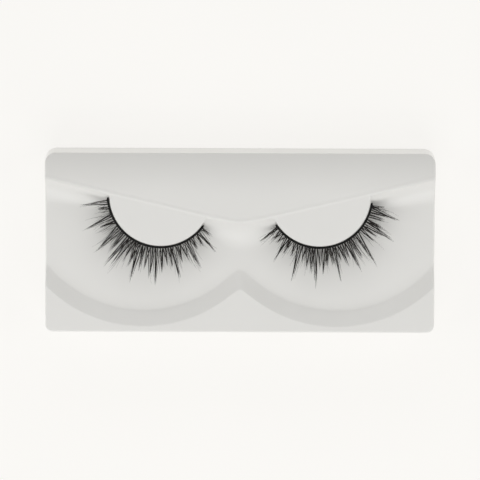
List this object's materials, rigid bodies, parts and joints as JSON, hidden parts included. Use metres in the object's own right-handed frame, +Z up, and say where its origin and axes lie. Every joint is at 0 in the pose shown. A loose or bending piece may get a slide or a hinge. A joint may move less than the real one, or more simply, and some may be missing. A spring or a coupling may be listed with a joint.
{
  "type": "pair of false eyelash strips in a tray",
  "caption": "Shallow white vacuum-formed tray whose half-moon lobes hold a left and a right false eyelash strip, each a thin band with a curled, tapering fringe.",
  "frame": {"origin": "centre of the rim that the tray rests on, at the bottom of the part", "axes": "+X along the tray towards the right-hand strip, +Y to the tray's back edge, +Z up out of the tray's face"},
  "size_m": [0.1066, 0.0496, 0.0139],
  "materials": {
    "tray_sheet": "satin white vacuum-formed sheet",
    "band_cotton": "black waxed cotton thread",
    "lash_fibre": "black satin fibre with fine tips"
  },
  "bodies": {
    "root": {"tray": "tray_sheet", "lash_band_left": "band_cotton", "lash_band_right": "band_cotton", "lash_hair_left": "lash_fibre", "lash_hair_right": "lash_fibre"}
  },
  "joints": []
}
